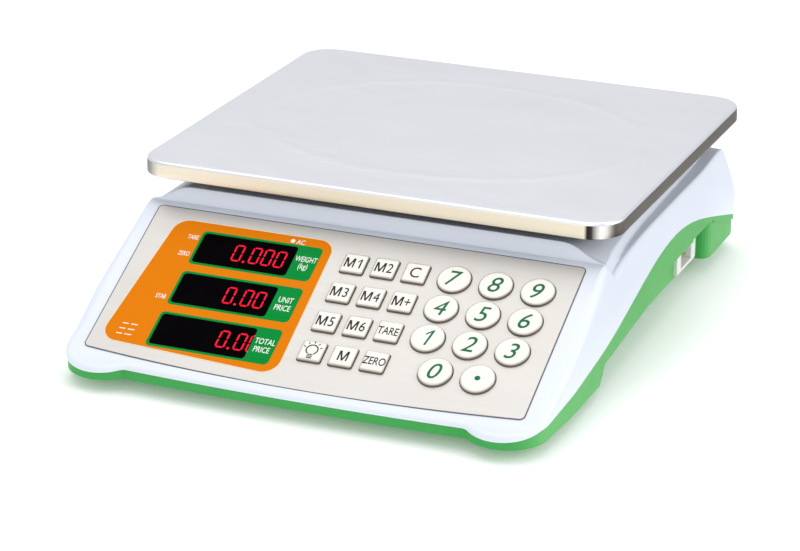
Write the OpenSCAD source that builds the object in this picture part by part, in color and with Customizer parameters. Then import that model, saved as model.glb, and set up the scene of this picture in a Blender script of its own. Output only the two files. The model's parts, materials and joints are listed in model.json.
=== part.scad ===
// Retail price scale: pan, pan support, load cell, two-part casing, sloping keypad and three
// digit displays. Millimetres, +Z up. The origin is on the ground under the middle of the
// casing, -Y is the operator's side, and the mains inlet is on +X.

/* [Casing] */
// Width of the casing at its widest
body_w = 337; // [330:1:345]
// Length of the casing from front to rear
body_d = 435; // [430:1:445]
// Height of the deck under the pan
deck_z = 96; // [94:0.5:97]
// Wall thickness of both mouldings
wall = 2.5; // [2:0.1:3]
// Radius of the two bulges at the front corners
bulge_r = 28; // [22:1:32]
// Radius of the rear corners
rear_r = 22; // [15:1:30]

/* [Front panel] */
// Slope of the front panel in degrees
panel_tilt = 28; // [26:0.5:30]
// Width of the stainless plate
plate_w = 304; // [300:1:310]
// Length of the stainless plate up the slope
plate_l = 126.7; // [124:0.1:128]
// How far the lower edge of the plate bows forward
plate_bow = 6.8; // [0:0.1:7]
// Thickness of the stainless plate
plate_t = 1.2; // [0.8:0.1:1.5]

/* [Keys] */
// Radius of a round key
round_r = 11.4; // [10:0.1:11.6]
// Side of a square key
square_w = 16.4; // [14:0.1:17]
// How far a key stands out of the plate
key_rise = 2; // [1.2:0.1:3]
// Travel of a key
key_travel = 1; // [0.6:0.1:1]
// Distance between rows of keys
row_pitch = 25.5; // [25.5:0.1:26]

/* [Display] */
// Width of a display window
window_w = 68.5; // [66:0.5:70]
// Height of a display window
window_h = 26; // [24:0.5:27]
// Distance between display windows
window_pitch = 36.2; // [36:0.1:37]

/* [Pan] */
// Width of the pan
pan_w = 340; // [336:1:344]
// Length of the pan
pan_d = 293; // [285:1:296]
// Height of the pan's top above the ground
pan_z = 113; // [113:0.5:114]
// Height of the pan's rim
pan_rim = 11; // [9:0.5:12]
// Radius of the pan's corners
pan_r = 22; // [16:1:30]

/* [Hidden] */
$fn = 48;

eps = 0.01;
far = 400;
half_w = body_w / 2;
half_d = body_d / 2;
white = [0.93, 0.94, 0.97];
green = [0.38, 0.74, 0.39];
steel = [0.82, 0.81, 0.79];
board_green = [0.1, 0.35, 0.2];
black = [0.08, 0.08, 0.08];

// Casing, seen from above
side_in = 2;
side_full_y = -150;
bulge_x = half_w - bulge_r - side_in;
bulge_y = -half_d + bulge_r;
bow_front = -half_d + 6;
bow_sag = 3;
bow_r = (bulge_x * bulge_x + bow_sag * bow_sag) / (2 * bow_sag);
outline_rear = half_d + 0.6;
base_inset = 1;

// Front panel: the lower corners of the plate are on the line y = panel_y, z = panel_z
panel_y = -198;
panel_z = 23.2;
plate_r = 3;
surround_drop = 0.5;
slot_gap = 0.3;
ridge_y = -82.5;
deck_front = -78;
lip_y = -204.5;
lip_front_z = 17.4;

// Deck and side shoulders, across the casing
deck_half = 137;
deck_wall_x = 157;
deck_wall_z = 84;
side_low_z = 50;
side_top_in = 6;

// Side curves, each a list of bezier control points [y, z]
part_front = [[-half_d - 1, 13.4], [-212, 14.8], [-206, 16.4]];
part_curves = [
  [[-200, 18.2], [-180, 20.5], [-160, 22.5], [-135, 25.8]],
  [[-135, 25.8], [-105, 29.5], [-90, 31], [-63, 37.8]],
  [[-63, 37.8], [-20, 48.6], [15, 59], [58, 59]],
  [[58, 59], [100, 59], [130, 47.5], [half_d, 22.3]]
];
shoulder_curve = [[deck_front - 2, 70], [-30, 78], [40, 82], [172, 84]];
rear_curve = [[160, deck_z], [183, deck_z], [192, 43], [half_d, 27]];
curve_steps = 10;

// Base: heights of the undersides
front_floor = 8.3;
tray_floor = 15.5;
arch_z = 28;
rear_floor = 12;
floor_t = 2.5;
front_end = -98;
arch_start = -88;
arch_start_z = 20;
rear_start = 139;
pod_edge_r = 9;
pod_band = [[100, 51.5], [120, 45.5], [148, 38], [197, 24], [half_d + 2, 17.5]];
pod_in = 1.2;
tray_half = 154;
tray_front = -92;

// Mains inlet, in a recess of the right-hand wall
recess_x = 158;
recess_y = [47, rear_start];
recess_top = 39.5;
inlet_y = 107;
inlet_z = 27.5;
inlet_flange = [2.5, 42, 20];
inlet_body = [24, 27, 18.6];
inlet_cavity = [16, 23.6, 15.6];

// Keys: round keys on three columns, square keys on three columns
round_u = 71;
round_pitch = 28.6;
square_u = 1;
square_pitch = 21.6;
square_r = 1.5;
top_row_v = 100.4;
key_hole_gap = 0.4;
key_lip = 0.5;
key_lip_t = 1;
plunger_r = 4;

// Layers under the plate, measured from its outer face
key_lip_w = -plate_t - 0.1;
plunger_w = key_lip_w - key_lip_t - key_travel;
dome_w = plunger_w - key_travel - 0.1;
membrane_w = dome_w - 1;
key_board_w = membrane_w - 1;
board_t = 1.6;

// Display windows and label
window_u = -75.75;
window_v = 95;
pane_border = 0.75;
label_t = 0.3;
label_r = 11;
digits_w = -3;
digits_size = [64, 20, 8];
display_board_w = digits_w - digits_size[2];

// Openings in the casing behind the plate: [left, lower, width, height]
display_opening = [-112.5, 6, 73.5, 106];
key_opening = [-13, 10, 156.5, 105];
board_posts_display = [[-115.5, 9], [-115.5, 109], [-36.3, 9], [-36.3, 109]];
board_posts_keys = [[-16.5, 11], [-16.5, 113], [147, 11], [147, 113]];
display_board_size = [86, 108];
key_board_size = [170.5, 108];

// Weighing parts
cell_y = [-5, 125];
cell_z = [50, 72];
cell_w = 30;
support_z = [98.5, 106];
column_y = [-5, 35];
support_bolt_y = [6, 24];
mount_bolt_y = [95, 115];
bolt_r = 3;
bolt_gap = 0.05;
hub_size = [44, 52];
pad_x = 128;
pad_y = [-48, 168];
pan_y = 60;
pan_t = 1;
stop_x = 84;
stop_y = [-8, 128];
stop_top = 97.9;

// Inner parts
battery_box = [[-140, 25, 18], [101, 70, 47]];
strap_w = 20;
strap_t = 1.2;
main_board_box = [[40, -75, 26], [98, 80, 1.6]];
transformer_y = 165;
transformer_x = 92;
switch_at = [118, 30];
switch_size = [21, 15];
rocker_axis = 1.3;
rocker_pin_r = 1;
screw_r = 1.5;
screw_head_r = 3;

// Feet and screws
foot_at = [[-136, -176], [136, -176], [-136, 178], [136, 178]];
foot_floor = [front_floor, front_floor, rear_floor, rear_floor];
foot_pad_r = 13;
foot_stud_r = 4;
post_at = [[-157, -112], [157, -112], [-146, 6], [146, 6], [-108, 190], [108, 190]];
post_floor = [front_floor, front_floor, tray_floor, tray_floor, rear_floor, rear_floor];
post_top = 38;
post_r = 6.5;
post_head_z = 28;

// Point at t along a cubic bezier curve
function bezier(p, t) =
  p[0] * pow(1 - t, 3) + 3 * p[1] * t * pow(1 - t, 2) + 3 * p[2] * t * t * (1 - t) + p[3] * t * t * t;
function curve(p, n) = [for (i = [0:n]) bezier(p, i / n)];
function arc(c, r, a0, a1, n) =
  [for (i = [0:n]) c + r * [cos(a0 + (a1 - a0) * i / n), sin(a0 + (a1 - a0) * i / n)]];
function reversed(list) = [for (i = [len(list) - 1:-1:0]) list[i]];
function raised(list, dz) = [for (p = list) [p[0], p[1] + dz]];
function moved(list, dy) = [for (p = list) [p[0] + dy, p[1]]];

// Line between the two mouldings, from front to rear
function parting() = concat(
  part_front,
  [for (c = part_curves) for (i = [0:curve_steps - 1]) bezier(c, i / curve_steps)],
  [part_curves[3][3]]
);

// Height of the casing's front slope at y, sunk by w below the plate's face
function slope_z(y, w) = panel_z + (y - panel_y) * tan(panel_tilt) + w / cos(panel_tilt);

module along_x(x0, x1) {
  translate([x0, 0, 0]) rotate([90, 0, 90]) linear_extrude(x1 - x0) children();
}

module along_y(y0, y1) {
  translate([0, y1, 0]) rotate([90, 0, 0]) linear_extrude(y1 - y0) children();
}

module box(low, high) {
  translate(low) cube(high - low);
}

module rod(at, r, z0, z1) {
  translate([at[0], at[1], z0]) cylinder(r = r, h = z1 - z0);
}

// Frame of the front panel: X across, Y up the slope, Z out of the plate
module on_panel() {
  translate([0, panel_y, panel_z]) rotate([panel_tilt, 0, 0]) children();
}

module rounded_rect(size, r) {
  square([size[0] - 2 * r, size[1]], center = true);
  square([size[0], size[1] - 2 * r], center = true);
  for (x = [-1, 1], y = [-1, 1]) {
    translate([x * (size[0] / 2 - r), y * (size[1] / 2 - r)]) circle(r = r);
  }
}

// Outline of the casing from above: bowed front, two front bulges, rounded rear corners
module body_outline(inset) {
  w = half_w - inset;
  rear = outline_rear - inset;
  r = rear_r - inset;
  a = asin(bulge_x / bow_r);
  polygon(concat(
    arc([0, bow_front + bow_r], bow_r - inset, -90 - a, -90 + a, 12),
    [[bulge_x, bulge_y + 2], [-bulge_x, bulge_y + 2]]
  ));
  for (s = [-1, 1]) {
    translate([s * bulge_x, bulge_y]) circle(r = bulge_r - inset);
    translate([s * (w - r), rear - r]) circle(r = r);
  }
  polygon([
    [-w + side_in, bulge_y], [w - side_in, bulge_y], [w, side_full_y], [w, rear - r], [w - r, rear],
    [r - w, rear], [-w, rear - r], [-w, side_full_y]
  ]);
}

// Side view of the top moulding: lip, front slope, ridge, deck and falling rear
module top_side(t, bottom) {
  w = -surround_drop - t;
  polygon(concat(
    [[-half_d - 1, lip_front_z - t], [lip_y, slope_z(lip_y, w)]],
    [[ridge_y + t, slope_z(ridge_y + t, w)]],
    [[deck_front + t, slope_z(ridge_y, -surround_drop) - t], [deck_front + t, deck_z - t]],
    moved(raised(curve(rear_curve, curve_steps), -t), -t),
    bottom
  ));
}

// Heights that the shoulders beside the deck reach
module shoulder_side(t) {
  polygon(concat(
    [[-far, -far], [-far, far], [deck_front + t, far]],
    raised(curve(shoulder_curve, curve_steps), -t),
    [[far, shoulder_curve[3][1] - t], [far, -far]]
  ));
}

// Cross-section of the shoulders: the sides lean in above side_low_z
module body_section(t) {
  w = half_w - t;
  lean = side_top_in / (deck_z - side_low_z);
  low = w + lean * (side_low_z + 1);
  high = w - lean * (deck_z - side_low_z + 1);
  polygon([[-low, -1], [low, -1], [high, deck_z + 1], [-high, deck_z + 1]]);
}

// Cross-section of the deck: flat top, sloping sides and a short upright wall
module deck_section(t) {
  polygon([
    [-deck_wall_x + t, 60], [deck_wall_x - t, 60], [deck_wall_x - t, deck_wall_z - t / 2],
    [deck_half, deck_z - t], [-deck_half, deck_z - t], [-deck_wall_x + t, deck_wall_z - t / 2]
  ]);
}

// Solid form of the top moulding, sunk by t all round
module top_form(t, bottom) {
  intersection() {
    along_x(-far, far) top_side(t, bottom);
    union() {
      intersection() {
        translate([0, 0, -2]) linear_extrude(deck_z) body_outline(t);
        along_x(-far, far) shoulder_side(t);
        along_y(-far, far) body_section(t);
      }
      along_y(deck_front - 4, half_d - rear_r) deck_section(t);
    }
  }
}

module plate_outline(gap) {
  w = plate_w / 2;
  x = w - plate_r;
  chord_r = (w * w + plate_bow * plate_bow) / (2 * plate_bow);
  chord_y = chord_r - plate_bow;
  low = chord_y - sqrt(pow(chord_r - plate_r, 2) - x * x);
  a = asin(x / (chord_r - plate_r));
  r = plate_r + gap;
  polygon(concat(
    arc([0, chord_y], chord_r + gap, -90 - a, -90 + a, 20),
    arc([x, low], r, -90 + a, 0, 5),
    arc([x, plate_l - plate_r], r, 0, 90, 5),
    arc([-x, plate_l - plate_r], r, 90, 180, 5),
    arc([-x, low], r, 180, 270 - a, 5)
  ));
}

function key_at(col, row) =
  [square_u + col * square_pitch, top_row_v - row * row_pitch];
function digit_at(col, row) =
  [round_u + (row == 3 ? (col + 0.5) : col) * round_pitch, top_row_v - row * row_pitch];
square_keys = [for (row = [0:3], col = [0:2]) key_at(col, row)];
round_keys = concat(
  [for (row = [0:2], col = [0:2]) digit_at(col, row)],
  [for (col = [0:1]) digit_at(col, 3)]
);
window_rows = [for (i = [0:2]) window_v - i * window_pitch];

module top_casing() {
  open_bottom = [[half_d, 0], [-half_d - 1, 0]];
  color(white) difference() {
    union() {
      difference() {
        top_form(0, reversed(parting()));
        top_form(wall, open_bottom);
        on_panel() {
          translate([0, 0, -plate_t]) linear_extrude(10) plate_outline(slot_gap);
          translate([display_opening[0], display_opening[1], -9])
            cube([display_opening[2], display_opening[3], 10]);
          translate([key_opening[0], key_opening[1], -9])
            cube([key_opening[2], key_opening[3], 10]);
        }
        translate([0, (column_y[0] + column_y[1]) / 2, deck_z - 8])
          linear_extrude(20) rounded_rect(hub_size, 8);
      }
      intersection() {
        top_form(0.3, open_bottom);
        for (p = post_at) rod(p, 4.6, post_top, deck_z);
      }
      on_panel() {
        for (p = board_posts_display) {
          translate([p[0], p[1], display_board_w]) cylinder(r = 2.6, h = -display_board_w - 2.4);
        }
        for (p = board_posts_keys) {
          translate([p[0], p[1], key_board_w]) cylinder(r = 2.6, h = -key_board_w - 2.4);
        }
      }
    }
    for (p = post_at) rod(p, screw_r + bolt_gap, post_top - 1, post_top + 14);
    for (x = [-stop_x, stop_x], y = stop_y) rod([x, y], 2.05, deck_z - wall - 1, deck_z + 1);
    on_panel() {
      for (p = board_posts_display) {
        translate([p[0], p[1], display_board_w - 1]) cylinder(r = screw_r + bolt_gap, h = 6.2);
      }
      for (p = board_posts_keys) {
        translate([p[0], p[1], key_board_w - 1]) cylinder(r = screw_r + bolt_gap, h = 5.4);
      }
    }
  }
}

// Side view of the base; t lifts the floors and thickens the walls
module base_side(t) {
  polygon(concat(
    parting(),
    [[half_d + 1, rear_floor + t], [rear_start + t, rear_floor + t], [rear_start + t, arch_z + t]],
    [[0, arch_z + t], [arch_start - t, arch_start_z + t], [front_end - t, front_floor + t]],
    [[-half_d - 1, front_floor + t]]
  ));
}

module base_outer() {
  difference() {
    intersection() {
      linear_extrude(deck_z) body_outline(base_inset);
      along_x(-half_w, half_w) base_side(0);
    }
    difference() {
      along_x(-half_w, half_w) polygon(concat([[pod_band[0][0], 1]], pod_band, [[half_d + 2, 1]]));
      linear_extrude(deck_z) body_outline(base_inset + pod_in);
    }
  }
  along_x(-tray_half, tray_half) polygon([
    [tray_front, tray_floor], [rear_start + 1, tray_floor], [rear_start + 1, arch_z + 1],
    [0, arch_z + 1], [arch_start, arch_start_z + 1], [tray_front, arch_start_z + 1]
  ]);
  box([100, recess_y[0] - floor_t, tray_floor], [recess_x, rear_start + 1, recess_top + floor_t]);
}

module base_cavity() {
  intersection() {
    translate([0, 0, 0.1]) linear_extrude(deck_z) body_outline(base_inset + wall);
    translate([0, 0, eps]) along_x(-half_w, half_w) base_side(floor_t);
  }
  box(
    [-tray_half + floor_t, tray_front + floor_t, tray_floor + floor_t],
    [tray_half - floor_t, rear_start + 10, arch_z + 6]
  );
}

module recess(grow) {
  x = recess_x - grow;
  y = recess_y[1] + grow;
  translate([0, 0, -1]) linear_extrude(recess_top + grow + 1) polygon(concat(
    [[x, y], [x, recess_y[0] - grow], [half_w + 5, recess_y[0] - grow], [half_w + 5, y + pod_edge_r]],
    arc([half_w - base_inset - pod_in - pod_edge_r, y + pod_edge_r], pod_edge_r, 0, -90, 6)
  ));
}

module bottom_casing() {
  color(green) difference() {
    union() {
      difference() {
        base_outer();
        recess(0);
        difference() {
          base_cavity();
          recess(floor_t);
        }
      }
      for (i = [0:3]) rod(foot_at[i], 9, foot_floor[i], foot_floor[i] + 12.5);
      for (i = [0:5]) rod(post_at[i], post_r, post_floor[i], post_top);
      for (x = [4, 94], y = [4, 76]) {
        rod([main_board_box[0][0] + x, main_board_box[0][1] + y], 3.5, tray_floor, 26);
      }
      box([-20, 82, tray_floor], [20, 128, tray_floor + floor_t + 1]);
    }
    for (i = [0:3]) rod(foot_at[i], 6, foot_floor[i] - 1, foot_floor[i] + 10.5);
    for (p = post_at) {
      rod(p, 3.9, 0, post_head_z);
      rod(p, screw_r + 0.35, post_head_z - 1, post_top + 1);
    }
    for (x = [4, 94], y = [4, 76]) {
      rod([main_board_box[0][0] + x, main_board_box[0][1] + y], screw_r + bolt_gap, 19, 27);
    }
    for (y = mount_bolt_y) rod([0, y], bolt_r + 0.2, tray_floor - 1, tray_floor + 5);
    translate([recess_x - 10, inlet_y - inlet_body[1] / 2 - 0.2, inlet_z - inlet_body[2] / 2 - 0.2])
      cube([20, inlet_body[1] + 0.4, inlet_body[2] + 0.4]);
    translate([switch_at[0], switch_at[1], tray_floor - 1])
      linear_extrude(6) square([switch_size[0] + 0.3, switch_size[1] + 0.3], center = true);
  }
}

module keypad_plate() {
  color(steel) on_panel() difference() {
    translate([0, 0, -plate_t]) linear_extrude(plate_t) plate_outline(0);
    translate([0, 0, -plate_t - 1]) linear_extrude(plate_t + 2) {
      for (p = round_keys) translate(p) circle(r = round_r + key_hole_gap);
      for (p = square_keys) translate(p)
        rounded_rect([square_w + 2 * key_hole_gap, square_w + 2 * key_hole_gap], square_r + key_hole_gap);
      for (v = window_rows) {
        translate([window_u, v])
          square([window_w + 2 * pane_border + 0.4, window_h + 2 * pane_border + 0.4], center = true);
      }
    }
  }
}

// Printed label: upright right-hand edge, leaning left-hand edge, large round corners
module label_outline() {
  top = 116.9;
  low = 4.5;
  right = -19.5;
  corners = [
    [right - label_r, top - label_r], [-131 + label_r, top - label_r],
    [-144 + label_r, low + label_r + 3], [right - label_r, low + label_r - 1.5]
  ];
  polygon(concat(
    arc(corners[0], label_r, 0, 90, 6),
    arc(corners[1], label_r, 90, 173, 6),
    arc(corners[2], label_r, 173, 272, 6),
    arc(corners[3], label_r, 268, 360, 6)
  ));
}

module display_label() {
  color([0.9, 0.5, 0.05]) on_panel() linear_extrude(label_t) difference() {
    label_outline();
    for (v = window_rows) translate([window_u, v]) square([window_w, window_h], center = true);
  }
}

module window_pane(i) {
  color([0.05, 0.02, 0.03, 0.8]) on_panel() translate([window_u, window_rows[i], -plate_t])
    linear_extrude(plate_t)
      square([window_w + 2 * pane_border, window_h + 2 * pane_border], center = true);
}

module weight_window() { window_pane(0); }
module unit_window() { window_pane(1); }
module total_window() { window_pane(2); }

// One row of seven-segment digits in its block
module digit_block(i) {
  color([0.55, 0.05, 0.08]) on_panel()
    translate([window_u, window_rows[i], digits_w - digits_size[2] / 2]) cube(digits_size, center = true);
}

module weight_digits() { digit_block(0); }
module unit_digits() { digit_block(1); }
module total_digits() { digit_block(2); }

module screw_holes(list, w) {
  for (p = list) translate([p[0], p[1], w - board_t - 1]) cylinder(r = screw_r + 0.2, h = board_t + 2);
}

module display_board() {
  color(board_green) on_panel() difference() {
    translate([-119, 5, display_board_w - board_t])
      cube([display_board_size[0], display_board_size[1], board_t]);
    screw_holes(board_posts_display, display_board_w);
  }
}

module keypad_board() {
  color(board_green) on_panel() difference() {
    translate([-20, 8, key_board_w - board_t]) cube([key_board_size[0], key_board_size[1], board_t]);
    screw_holes(board_posts_keys, key_board_w);
  }
}

module keypad_membrane() {
  color([0.75, 0.75, 0.78]) on_panel() {
    translate([-12, 12, key_board_w]) cube([155, 102, membrane_w - key_board_w]);
    for (p = concat(round_keys, square_keys)) {
      translate([p[0], p[1], membrane_w]) cylinder(r = 5, h = dome_w - membrane_w);
    }
  }
}

module round_key(p) {
  color(steel) on_panel() translate(p) {
    translate([0, 0, key_lip_w]) cylinder(r = round_r, h = key_rise - key_lip_w - 0.8);
    translate([0, 0, key_rise - 0.8]) cylinder(r1 = round_r, r2 = round_r - 0.8, h = 0.8);
    translate([0, 0, key_lip_w - key_lip_t])
      cylinder(r = round_r + key_hole_gap + key_lip, h = key_lip_t);
    translate([0, 0, plunger_w]) cylinder(r = plunger_r, h = key_travel + 0.1);
  }
}

module square_key(p) {
  lip = square_w + 2 * (key_hole_gap + key_lip);
  color(steel) on_panel() translate(p) {
    translate([0, 0, key_lip_w]) linear_extrude(key_rise - key_lip_w)
      rounded_rect([square_w, square_w], square_r);
    translate([0, 0, key_lip_w - key_lip_t]) linear_extrude(key_lip_t) square(lip, center = true);
    translate([0, 0, plunger_w]) cylinder(r = plunger_r, h = key_travel + 0.1);
  }
}

// Number keys, from the top row down: 7 8 9, 4 5 6, 1 2 3, 0 and the point
module key_7() { round_key(round_keys[0]); }
module key_8() { round_key(round_keys[1]); }
module key_9() { round_key(round_keys[2]); }
module key_4() { round_key(round_keys[3]); }
module key_5() { round_key(round_keys[4]); }
module key_6() { round_key(round_keys[5]); }
module key_1() { round_key(round_keys[6]); }
module key_2() { round_key(round_keys[7]); }
module key_3() { round_key(round_keys[8]); }
module key_0() { round_key(round_keys[9]); }
module key_point() { round_key(round_keys[10]); }

// Function keys, from the top row down
module key_m1() { square_key(square_keys[0]); }
module key_m2() { square_key(square_keys[1]); }
module key_clear() { square_key(square_keys[2]); }
module key_m3() { square_key(square_keys[3]); }
module key_m4() { square_key(square_keys[4]); }
module key_m_plus() { square_key(square_keys[5]); }
module key_m5() { square_key(square_keys[6]); }
module key_m6() { square_key(square_keys[7]); }
module key_tare() { square_key(square_keys[8]); }
module key_light() { square_key(square_keys[9]); }
module key_m() { square_key(square_keys[10]); }
module key_zero() { square_key(square_keys[11]); }

module pan() {
  color([0.87, 0.88, 0.9]) translate([0, pan_y, pan_z]) difference() {
    translate([0, 0, -pan_rim]) linear_extrude(pan_rim) rounded_rect([pan_w, pan_d], pan_r);
    translate([0, 0, -pan_rim - 1]) linear_extrude(pan_rim + 1 - pan_t)
      rounded_rect([pan_w - 2 * pan_t, pan_d - 2 * pan_t], pan_r - pan_t);
  }
}

// Cast carrier: a plate over the load cell, a column down to it and four arms
module pan_support() {
  plate = [64, 130];
  reach = [pad_x, pad_y[1] - pan_y];
  color([0.7, 0.71, 0.73]) difference() {
    union() {
      translate([0, pan_y, support_z[0]]) linear_extrude(support_z[1] - support_z[0]) {
        rounded_rect(plate, 8);
        for (x = [-1, 1], y = [-1, 1]) {
          rotate(atan2(y * reach[1], x * reach[0])) translate([20, -8]) square([norm(reach) - 20, 16]);
          translate([x * pad_x, y * reach[1]]) circle(r = 12);
        }
      }
      translate([0, (column_y[0] + column_y[1]) / 2, cell_z[1]])
        linear_extrude(support_z[0] - cell_z[1] + 1) rounded_rect([cell_w, column_y[1] - column_y[0]], 5);
    }
    for (y = support_bolt_y) {
      rod([0, y], bolt_r + bolt_gap, cell_z[1] - 1, support_z[1] + 1);
      rod([0, y], 5.6, support_z[1] - 6, support_z[1] + 1);
    }
  }
}

module pan_pads() {
  color(black) for (x = [-1, 1], y = pad_y) rod([x * pad_x, y], 9, support_z[1], pan_z - pan_t);
}

module support_bolts() {
  color("silver") for (y = support_bolt_y) {
    rod([0, y], bolt_r, cell_z[0] + 6, support_z[1] - 5);
    rod([0, y], 5, support_z[1] - 6, support_z[1] - 0.5);
  }
}

// Single-point cell with two joined holes through its middle
module load_cell() {
  mid = (cell_z[0] + cell_z[1]) / 2;
  color([0.78, 0.8, 0.82]) difference() {
    box([-cell_w / 2, cell_y[0], cell_z[0]], [cell_w / 2, cell_y[1], cell_z[1]]);
    for (y = [47, 73]) {
      translate([-cell_w, y, mid]) rotate([0, 90, 0]) cylinder(r = 8, h = 2 * cell_w);
    }
    box([-cell_w, 47, mid - 3], [cell_w, 73, mid + 3]);
    for (y = support_bolt_y) rod([0, y], bolt_r + bolt_gap, cell_z[0] + 5, cell_z[1] + 1);
    for (y = mount_bolt_y) rod([0, y], bolt_r + bolt_gap, cell_z[0] - 1, cell_z[0] + 13);
  }
}

module load_cell_mount() {
  color([0.6, 0.61, 0.63]) difference() {
    box([-17, 85, tray_floor + floor_t + 1], [17, 125, cell_z[0]]);
    for (y = mount_bolt_y) rod([0, y], bolt_r + 0.2, tray_floor, cell_z[0] + 1);
  }
}

module load_cell_bolts() {
  color("silver") for (y = mount_bolt_y) {
    rod([0, y], bolt_r, tray_floor - 1, cell_z[0] + 12);
    rod([0, y], 6, tray_floor - 4, tray_floor);
  }
}

module overload_stops() {
  color("silver") for (x = [-stop_x, stop_x], y = stop_y) {
    rod([x, y], 2, deck_z - 8, deck_z + 0.5);
    rod([x, y], 4, deck_z, stop_top);
  }
}

module main_board() {
  low = main_board_box[0];
  size = main_board_box[1];
  top = low[2] + size[2];
  color(board_green) difference() {
    box(low, low + size);
    for (x = [4, 94], y = [4, 76]) rod([low[0] + x, low[1] + y], screw_r + 0.2, low[2] - 1, top + 1);
  }
  color(black) {
    box([70, -50, top], [84, -36, top + 2]);
    box([95, -30, top], [109, -24, top + 3]);
    box([62, -12, top], [92, -4, top + 8]);
  }
  color("slategray") for (x = [112, 126]) rod([x, -55], 5, top, top + 14);
}

// Flat cable from the keypad board down to the edge of the main board
module ribbon_cable() {
  color([0.7, 0.7, 0.72]) along_x(50, 70) polygon([
    [-166, 31], [-166, 14.2], [-104, 14.2], [-91, 25.6], [-75.1, 26.3],
    [-75.1, 27.3], [-91.4, 26.6], [-104.4, 15.2], [-165, 15.2], [-165, 31]
  ]);
}

module battery() {
  color([0.2, 0.22, 0.26]) box(battery_box[0], battery_box[0] + battery_box[1]);
  color("firebrick") for (y = [38, 82]) {
    box([-39, y - 3, 55], [-33, y + 3, 56]);
  }
}

module battery_clamp() {
  low = battery_box[0];
  high = low + battery_box[1];
  x0 = low[0] + 40;
  y0 = low[1] - 0.2;
  y1 = high[1] + 0.2;
  color("silver") difference() {
    union() {
      box([x0, y0 - strap_t, high[2] + 0.1], [x0 + strap_w, y1 + strap_t, high[2] + 0.1 + strap_t]);
      for (s = [[y0 - strap_t, y0, y0 - 14, y0], [y1, y1 + strap_t, y1, y1 + 14]]) {
        box([x0, s[0], low[2]], [x0 + strap_w, s[1], high[2] + 1]);
        box([x0, s[2], low[2]], [x0 + strap_w, s[3], low[2] + strap_t]);
      }
    }
    for (y = [y0 - 8, y1 + 8]) rod([x0 + strap_w / 2, y], screw_r + 0.2, low[2] - 1, low[2] + 3);
  }
}

// Laminated core, its winding and a mounting foot on each side
module transformer() {
  z0 = rear_floor + floor_t + eps;
  color([0.35, 0.35, 0.37]) {
    box([transformer_x - 24, transformer_y - 8, z0], [transformer_x + 24, transformer_y + 8, z0 + 40]);
    box([transformer_x - 30, transformer_y - 8, z0], [transformer_x - 24, transformer_y + 8, z0 + 1.5]);
    box([transformer_x + 24, transformer_y - 8, z0], [transformer_x + 30, transformer_y + 8, z0 + 1.5]);
  }
  color([0.85, 0.75, 0.3]) for (s = [-1, 1]) {
    translate([transformer_x, transformer_y + s * 12.5, z0 + 20]) cube([30, 9, 26], center = true);
  }
}

module mains_inlet() {
  color([0.9, 0.9, 0.88]) difference() {
    union() {
      translate([recess_x + inlet_flange[0] / 2, inlet_y, inlet_z]) cube(inlet_flange, center = true);
      translate([recess_x - inlet_body[0] / 2 + eps, inlet_y, inlet_z]) cube(inlet_body, center = true);
    }
    translate([recess_x + inlet_flange[0] - inlet_cavity[0] / 2 + 1, inlet_y, inlet_z])
      cube([inlet_cavity[0] + 2, inlet_cavity[1], inlet_cavity[2]], center = true);
    for (p = [[-7, -2], [7, -2], [0, 2]]) {
      translate([recess_x - 15, inlet_y + p[0], inlet_z + p[1]]) cube([24, 2.1, 4.1], center = true);
    }
  }
}

module inlet_pins() {
  color("goldenrod") for (p = [[-7, -2], [7, -2], [0, 2]]) {
    translate([recess_x - 15, inlet_y + p[0], inlet_z + p[1]]) cube([30, 2, 4], center = true);
  }
}

module power_switch() {
  size = [switch_size[0], switch_size[1]];
  color(black) translate([switch_at[0], switch_at[1], 0]) difference() {
    union() {
      translate([0, 0, tray_floor - 1.6]) linear_extrude(1.6) square([size[0] + 3, size[1] + 3], center = true);
      translate([0, 0, tray_floor - eps]) linear_extrude(19) square(size, center = true);
    }
    translate([0, 0, tray_floor - 3]) linear_extrude(9) square([17, 10], center = true);
    translate([0, 0, tray_floor + rocker_axis]) rotate([90, 0, 0])
      cylinder(r = rocker_pin_r + bolt_gap, h = 11.6, center = true);
  }
}

// Rocker: turns on a pin across the short side; its faces meet at a shallow V
module switch_rocker() {
  color([0.75, 0.1, 0.1]) translate([switch_at[0], switch_at[1], tray_floor]) {
    along_y(-4.8, 4.8)
      polygon([[-7.9, -1.4], [0, -0.2], [7.7, -2.8], [6.6, 1.8], [2, 3.4], [-2, 3.4], [-7.5, 1.8]]);
    translate([0, 0, rocker_axis]) rotate([90, 0, 0]) cylinder(r = rocker_pin_r, h = 11.2, center = true);
  }
}

module foot(i) {
  color(black) {
    rod(foot_at[i], foot_pad_r, 0, 5);
    rod(foot_at[i], 9, 5, foot_floor[i] - 0.5);
    rod(foot_at[i], foot_stud_r, 5, foot_floor[i] + 9.5);
  }
}

module foot_front_left() { foot(0); }
module foot_front_right() { foot(1); }
module foot_rear_left() { foot(2); }
module foot_rear_right() { foot(3); }

module foot_inserts() {
  color("goldenrod") for (i = [0:3]) difference() {
    rod(foot_at[i], 5.95, foot_floor[i], foot_floor[i] + 10);
    rod(foot_at[i], foot_stud_r + bolt_gap, foot_floor[i] - 1, foot_floor[i] + 11);
  }
}

module casing_screws() {
  color("silver") for (p = post_at) {
    rod(p, screw_r, post_head_z - 1, post_top + 13);
    rod(p, screw_head_r, post_head_z - 2.4, post_head_z);
  }
}

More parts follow.
